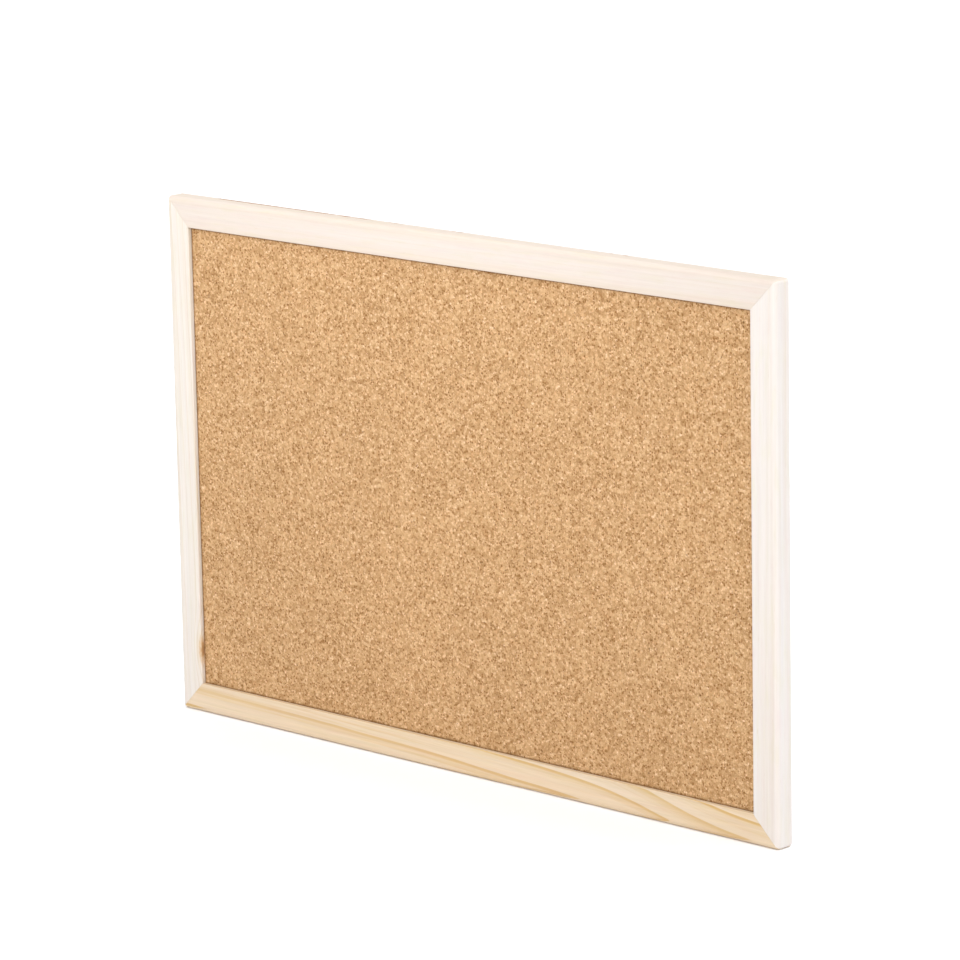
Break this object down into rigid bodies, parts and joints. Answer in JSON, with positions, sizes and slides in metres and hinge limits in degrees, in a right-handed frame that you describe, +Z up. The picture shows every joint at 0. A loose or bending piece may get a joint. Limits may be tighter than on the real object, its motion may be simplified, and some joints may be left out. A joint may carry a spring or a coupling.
{
  "type": "cork bulletin board",
  "caption": "Landscape wall board: a cork-faced soft panel behind the lip of a mitred pine frame, hung by two swinging rings on its back.",
  "frame": {"origin": "the middle of the board's outline, on the plane of the wall that its bumpers touch", "axes": "+Z up, the cork faces -Y, +Y goes into the wall, +X to the right as the cork is looked at"},
  "size_m": [0.9, 0.027, 0.6],
  "materials": {
    "pine": "pale planed and sanded pine, unvarnished, fine straight grain",
    "cork": "fine-grained agglomerated cork, matt",
    "softboard": "soft wood-fibre board, matt",
    "hardboard": "brown hardboard, mesh-textured side out",
    "fixing_steel": "bare rolled strip",
    "plated_steel": "bright nickel plate",
    "bumper_rubber": "matt black rubber"
  },
  "bodies": {
    "board": {"top_rail": "pine", "bottom_rail": "pine", "left_stile": "pine", "right_stile": "pine", "cork_sheet": "cork", "softboard_core": "softboard", "hardboard_back": "hardboard", "corner_nails_top_left": "fixing_steel", "corner_nails_top_right": "fixing_steel", "corner_nails_bottom_left": "fixing_steel", "corner_nails_bottom_right": "fixing_steel", "framing_points_top": "fixing_steel", "framing_points_bottom": "fixing_steel", "framing_points_left": "fixing_steel", "framing_points_right": "fixing_steel", "hanger_strap_left": "plated_steel", "hanger_strap_right": "plated_steel", "hanger_screw_left": "plated_steel", "hanger_screw_right": "plated_steel", "wall_bumper_left": "bumper_rubber", "wall_bumper_right": "bumper_rubber"},
    "ring_left": {"d_ring_left": "plated_steel"},
    "ring_right": {"d_ring_right": "plated_steel"}
  },
  "joints": [
    {"name": "ring_left_swing", "type": "hinge", "parent": "board", "child": "ring_left", "pos_m": [-0.437, -0.0028, 0.19], "axis": [1, 0, 0], "range_deg": [0, 180]},
    {"name": "ring_right_swing", "type": "hinge", "parent": "board", "child": "ring_right", "pos_m": [0.437, -0.0028, 0.19], "axis": [1, 0, 0], "range_deg": [0, 180]}
  ]
}
